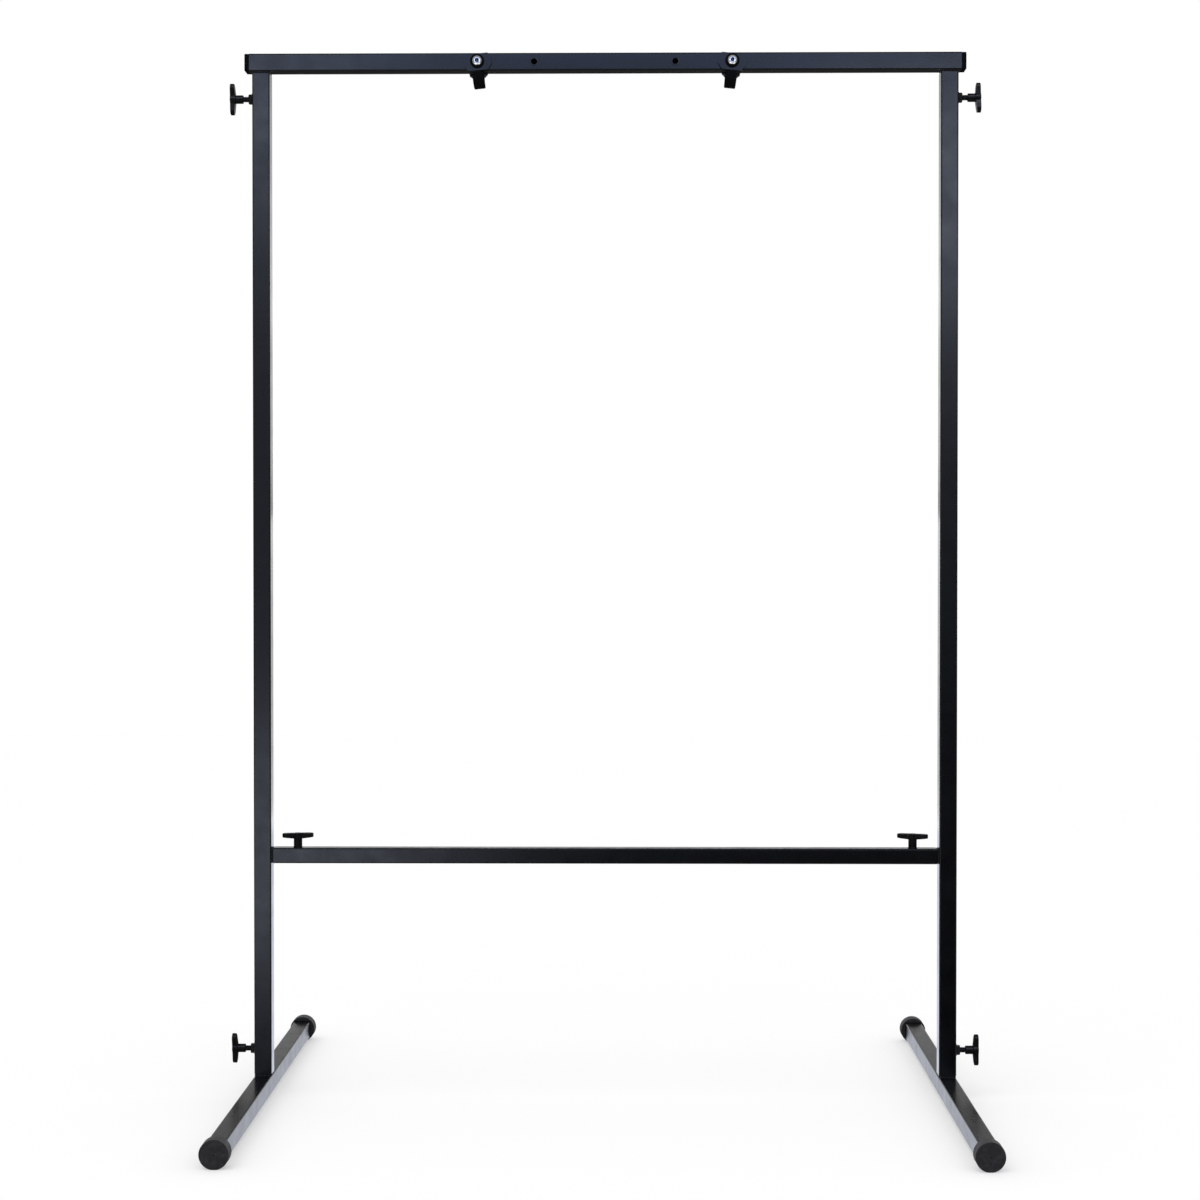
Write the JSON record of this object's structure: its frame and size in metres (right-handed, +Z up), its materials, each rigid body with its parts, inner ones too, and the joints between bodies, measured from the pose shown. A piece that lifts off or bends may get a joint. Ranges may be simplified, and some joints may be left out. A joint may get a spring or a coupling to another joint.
{
  "type": "gong stand",
  "caption": "Free-standing square-tube frame on two long rubber-capped feet, sleeve-jointed and clamped by wing knobs, with swinging hooks on its top beam.",
  "frame": {"origin": "on the floor, under the middle of the stand", "axes": "+X along the beam to the right seen from the hooks' side, -Y the hooks' side, +Z up"},
  "size_m": [1.0666, 0.8, 1.487],
  "materials": {
    "black_coat": "satin black powder coat on welded square steel tube",
    "cap_rubber": "matt black moulded rubber",
    "sleeve_plastic": "black dipped sleeve",
    "washer_plastic": "black washer",
    "knob_plastic": "black moulded plastic, fine grain",
    "bright_steel": "bright zinc plate",
    "dark_steel": "blackened steel"
  },
  "bodies": {
    "left_foot": {"left_foot_tube": "black_coat", "left_foot_stub": "black_coat", "left_foot_weld": "black_coat", "left_front_foot_cap": "cap_rubber", "left_rear_foot_cap": "cap_rubber"},
    "right_foot": {"right_foot_tube": "black_coat", "right_foot_stub": "black_coat", "right_foot_weld": "black_coat", "right_front_foot_cap": "cap_rubber", "right_rear_foot_cap": "cap_rubber"},
    "frame": {"left_upright": "black_coat", "right_upright": "black_coat", "crossbar": "black_coat", "left_crossbar_stub": "black_coat", "right_crossbar_stub": "black_coat", "left_crossbar_weld": "black_coat", "right_crossbar_weld": "black_coat", "left_crossbar_nut": "dark_steel", "right_crossbar_nut": "dark_steel", "left_lower_weld_nut": "black_coat", "left_upper_weld_nut": "black_coat", "right_lower_weld_nut": "black_coat", "right_upper_weld_nut": "black_coat"},
    "beam": {"beam_tube": "black_coat", "left_beam_stub": "black_coat", "left_beam_weld": "black_coat", "left_beam_plug": "knob_plastic", "left_hanger_rivet_nut": "dark_steel", "left_spare_rivet_nut": "dark_steel", "left_hanger_washer": "washer_plastic", "left_hanger_bolt": "bright_steel", "right_beam_stub": "black_coat", "right_beam_weld": "black_coat", "right_beam_plug": "knob_plastic", "right_hanger_rivet_nut": "dark_steel", "right_spare_rivet_nut": "dark_steel", "right_hanger_washer": "washer_plastic", "right_hanger_bolt": "bright_steel"},
    "left_hanger": {"left_hanger_strap": "black_coat", "left_hook_sleeve": "sleeve_plastic"},
    "right_hanger": {"right_hanger_strap": "black_coat", "right_hook_sleeve": "sleeve_plastic"},
    "left_lower_stud": {"left_lower_knob_stud": "dark_steel"},
    "left_lower_knob": {"left_lower_knob": "knob_plastic"},
    "left_upper_stud": {"left_upper_knob_stud": "dark_steel"},
    "left_upper_knob": {"left_upper_knob": "knob_plastic"},
    "left_crossbar_stud": {"left_crossbar_knob_stud": "dark_steel"},
    "left_crossbar_knob": {"left_crossbar_knob": "knob_plastic"},
    "right_lower_stud": {"right_lower_knob_stud": "dark_steel"},
    "right_lower_knob": {"right_lower_knob": "knob_plastic"},
    "right_upper_stud": {"right_upper_knob_stud": "dark_steel"},
    "right_upper_knob": {"right_upper_knob": "knob_plastic"},
    "right_crossbar_stud": {"right_crossbar_knob_stud": "dark_steel"},
    "right_crossbar_knob": {"right_crossbar_knob": "knob_plastic"}
  },
  "joints": [
    {"name": "frame_lift", "type": "slide", "parent": "left_foot", "child": "frame", "axis": [0, 0, 1], "range_m": [0, 0.08]},
    {"name": "right_foot_draw", "type": "slide", "parent": "frame", "child": "right_foot", "axis": [0, 0, -1], "range_m": [0, 0.08]},
    {"name": "beam_lift", "type": "slide", "parent": "frame", "child": "beam", "axis": [0, 0, 1], "range_m": [0, 0.08]},
    {"name": "left_hanger_swing", "type": "hinge", "parent": "beam", "child": "left_hanger", "pos_m": [-0.1805, -0.01485, 1.4745], "axis": [0, 1, 0], "range_deg": [0, 12]},
    {"name": "right_hanger_swing", "type": "hinge", "parent": "beam", "child": "right_hanger", "pos_m": [0.1805, -0.01485, 1.4745], "axis": [0, -1, 0], "range_deg": [0, 12]},
    {"name": "left_lower_knob_feed", "type": "slide", "parent": "frame", "child": "left_lower_stud", "axis": [-1, 0, 0], "range_m": [0, 0.005]},
    {"name": "left_lower_knob_turn", "type": "hinge", "parent": "left_lower_stud", "child": "left_lower_knob", "pos_m": [-0.52, 0, 0.06925], "axis": [-1, 0, 0], "range_deg": [0, 1440]},
    {"name": "left_upper_knob_feed", "type": "slide", "parent": "frame", "child": "left_upper_stud", "axis": [-1, 0, 0], "range_m": [0, 0.005]},
    {"name": "left_upper_knob_turn", "type": "hinge", "parent": "left_upper_stud", "child": "left_upper_knob", "pos_m": [-0.52, 0, 1.42425], "axis": [-1, 0, 0], "range_deg": [0, 1440]},
    {"name": "left_crossbar_knob_feed", "type": "slide", "parent": "frame", "child": "left_crossbar_stud", "axis": [0, 0, 1], "range_m": [0, 0.005]},
    {"name": "left_crossbar_knob_turn", "type": "hinge", "parent": "left_crossbar_stud", "child": "left_crossbar_knob", "pos_m": [-0.43875, -0.0015, 0.37], "axis": [0, 0, 1], "range_deg": [0, 1440]},
    {"name": "right_lower_knob_feed", "type": "slide", "parent": "frame", "child": "right_lower_stud", "axis": [1, 0, 0], "range_m": [0, 0.005]},
    {"name": "right_lower_knob_turn", "type": "hinge", "parent": "right_lower_stud", "child": "right_lower_knob", "pos_m": [0.52, 0, 0.06925], "axis": [1, 0, 0], "range_deg": [0, 1440]},
    {"name": "right_upper_knob_feed", "type": "slide", "parent": "frame", "child": "right_upper_stud", "axis": [1, 0, 0], "range_m": [0, 0.005]},
    {"name": "right_upper_knob_turn", "type": "hinge", "parent": "right_upper_stud", "child": "right_upper_knob", "pos_m": [0.52, 0, 1.42425], "axis": [1, 0, 0], "range_deg": [0, 1440]},
    {"name": "right_crossbar_knob_feed", "type": "slide", "parent": "frame", "child": "right_crossbar_stud", "axis": [0, 0, 1], "range_m": [0, 0.005]},
    {"name": "right_crossbar_knob_turn", "type": "hinge", "parent": "right_crossbar_stud", "child": "right_crossbar_knob", "pos_m": [0.43875, -0.0015, 0.37], "axis": [0, 0, 1], "range_deg": [0, 1440]}
  ],
  "couplings": [
    {"joint": "right_foot_draw", "follows": "frame_lift", "ratio": 1},
    {"joint": "left_lower_knob_feed", "follows": "left_lower_knob_turn", "m_per_rad": 0.0001989},
    {"joint": "left_upper_knob_feed", "follows": "left_upper_knob_turn", "m_per_rad": 0.0001989},
    {"joint": "left_crossbar_knob_feed", "follows": "left_crossbar_knob_turn", "m_per_rad": 0.0001989},
    {"joint": "right_lower_knob_feed", "follows": "right_lower_knob_turn", "m_per_rad": 0.0001989},
    {"joint": "right_upper_knob_feed", "follows": "right_upper_knob_turn", "m_per_rad": 0.0001989},
    {"joint": "right_crossbar_knob_feed", "follows": "right_crossbar_knob_turn", "m_per_rad": 0.0001989}
  ]
}
